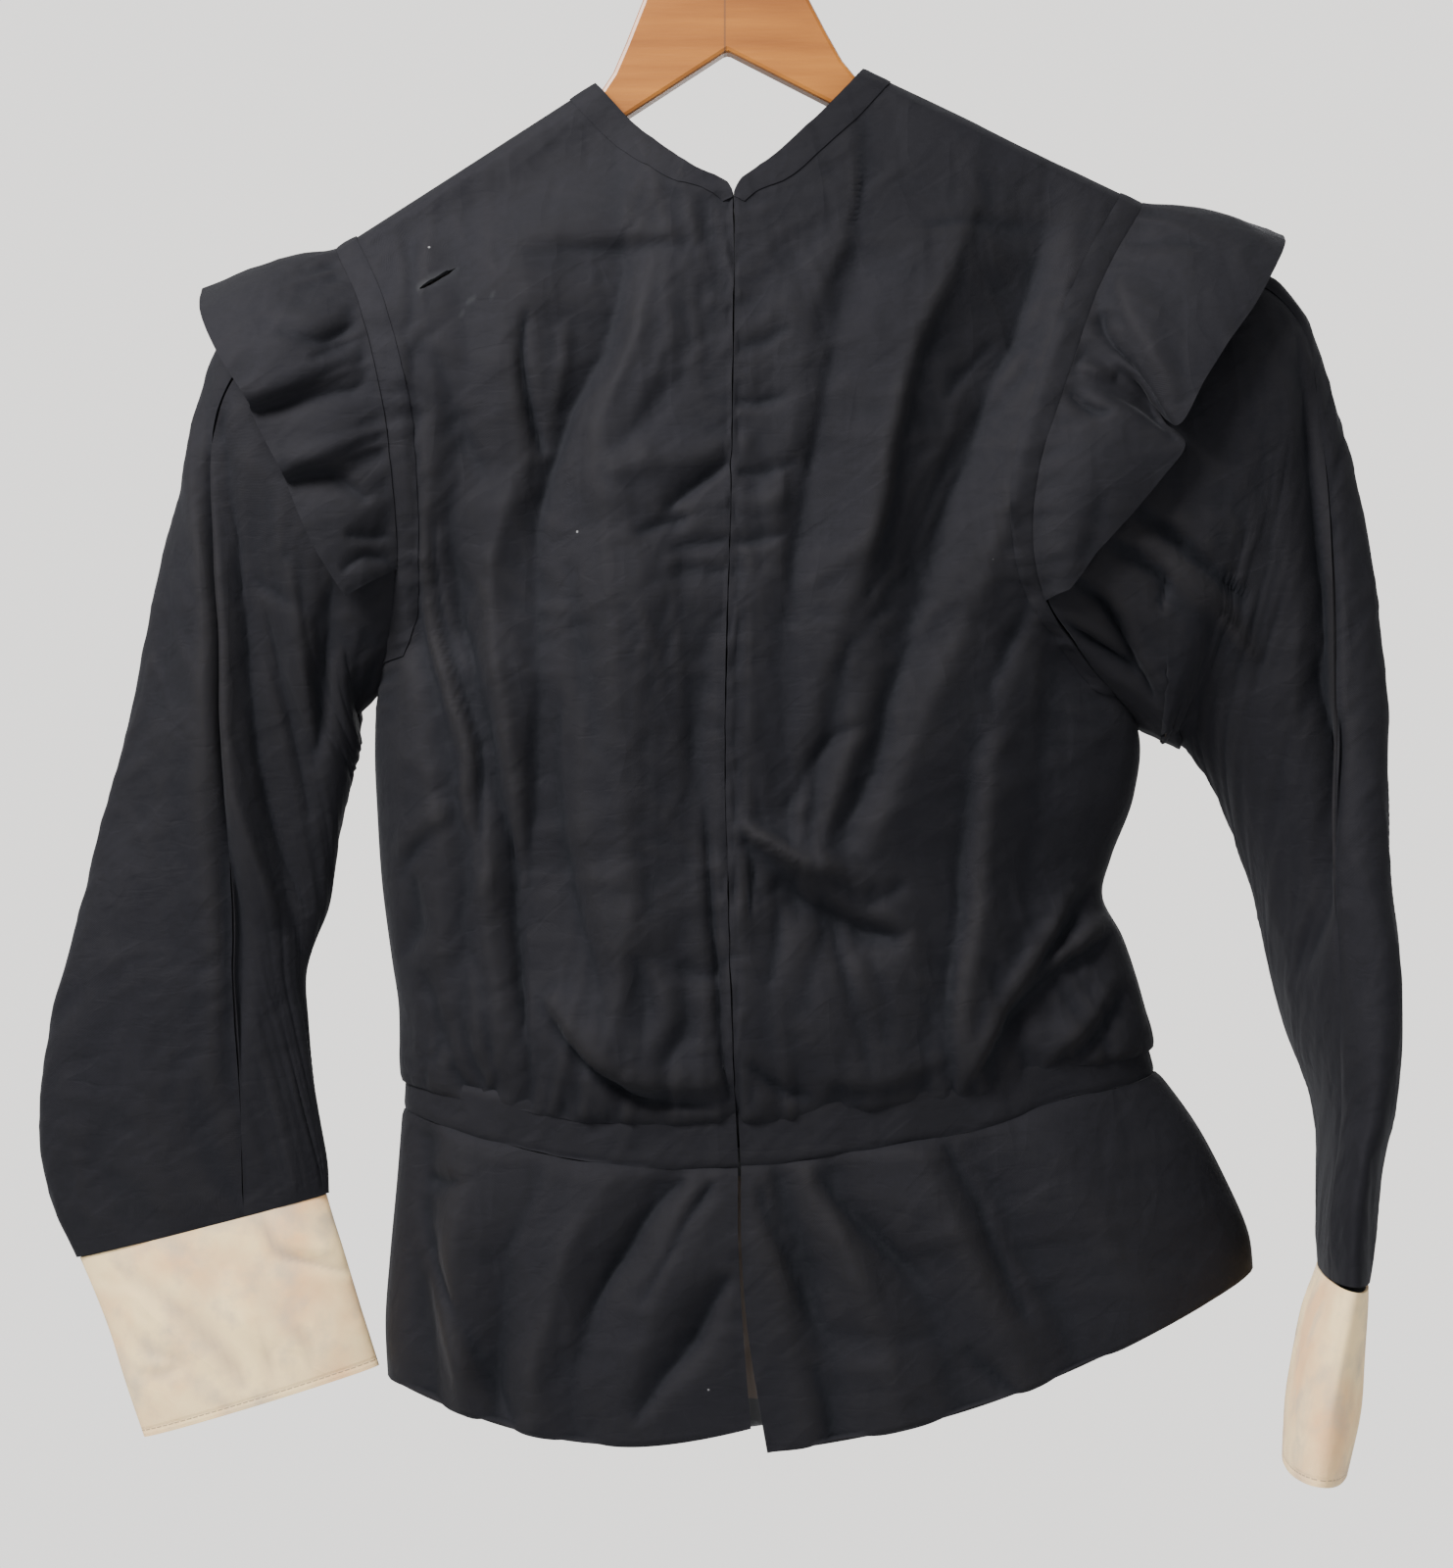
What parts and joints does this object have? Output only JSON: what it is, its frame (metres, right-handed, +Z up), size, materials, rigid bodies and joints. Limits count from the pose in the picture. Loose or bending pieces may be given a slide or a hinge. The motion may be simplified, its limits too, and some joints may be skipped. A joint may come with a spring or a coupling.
{
  "type": "bodice on hanger",
  "caption": "Woman's long-sleeved black cotton bodice with shoulder ruffles, peplum and cream cuffs, hanging closed on a wooden hanger.",
  "frame": {"origin": "the place inside the top of the hanger's hook where it rests on a rail", "axes": "+X to the viewer's right, +Y away from the viewer, from the front to the back, +Z up"},
  "size_m": [0.5754, 0.1164, 0.7181],
  "materials": {
    "black_cotton": "faded black cotton sateen, matt",
    "cream_cotton": "washed cream cotton, matt",
    "wood": "clear satin varnish",
    "steel": "bright wire"
  },
  "bodies": {
    "root": {"front_right": "black_cotton", "front_left": "black_cotton", "back": "black_cotton", "neck_band": "black_cotton", "armhole_band_right": "black_cotton", "armhole_band_left": "black_cotton", "ruffle_right": "black_cotton", "ruffle_left": "black_cotton", "sleeve_upper_right": "black_cotton", "sleeve_under_right": "black_cotton", "sleeve_upper_left": "black_cotton", "sleeve_under_left": "black_cotton", "cuff_right": "cream_cotton", "cuff_left": "cream_cotton", "waistband_right": "black_cotton", "waistband_left": "black_cotton", "waistband_back": "black_cotton", "peplum_right": "black_cotton", "peplum_left": "black_cotton", "peplum_back": "black_cotton", "hanger_wood": "wood", "hanger_hook": "steel"}
  },
  "joints": []
}
